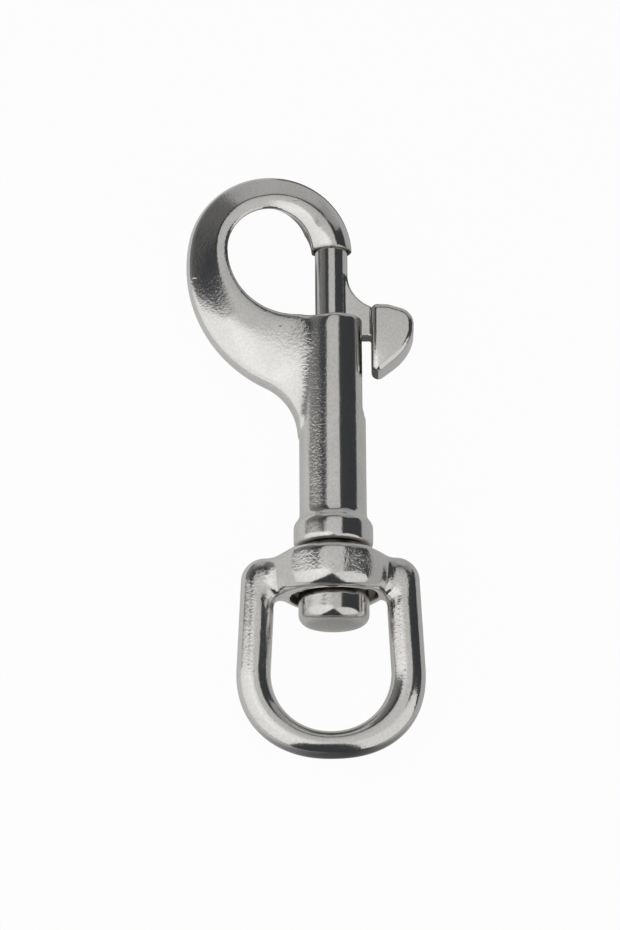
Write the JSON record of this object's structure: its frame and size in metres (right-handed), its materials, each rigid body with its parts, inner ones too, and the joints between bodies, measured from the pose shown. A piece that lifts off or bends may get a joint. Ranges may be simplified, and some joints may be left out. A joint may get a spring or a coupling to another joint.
{
  "type": "swivel snap hook",
  "caption": "Cast stainless swivel snap hook: round hook closed by a spring bolt with a thumb knob, and an eye that turns on a headed pin.",
  "frame": {"origin": "centre of the swivel eye's bend, on the swivel axis", "axes": "+Y along the swivel axis towards the hook, +X towards the thumb knob's side, +Z square to the flat of the hook"},
  "size_m": [0.0346, 0.0885, 0.0168],
  "materials": {
    "cast_steel": "polished cast stainless with a faint pebbled skin",
    "turned_steel": "polished side and satin end face",
    "spring_wire": "drawn wire"
  },
  "bodies": {
    "hook": {"hook_body": "cast_steel", "swivel_pin": "turned_steel", "spring": "spring_wire"},
    "bolt": {"bolt": "cast_steel"},
    "eye": {"swivel_eye": "cast_steel"}
  },
  "joints": [
    {"name": "bolt_slide", "type": "slide", "parent": "hook", "child": "bolt", "axis": [0, -1, 0], "range_m": [0, 0.0115], "stiffness_N_per_m": 600, "springref_m": -0.008, "deforming": ["spring"]},
    {"name": "eye_swivel", "type": "hinge", "parent": "hook", "child": "eye", "pos_m": [0, 0.01425, 0], "axis": [0, 1, 0], "continuous": true}
  ]
}
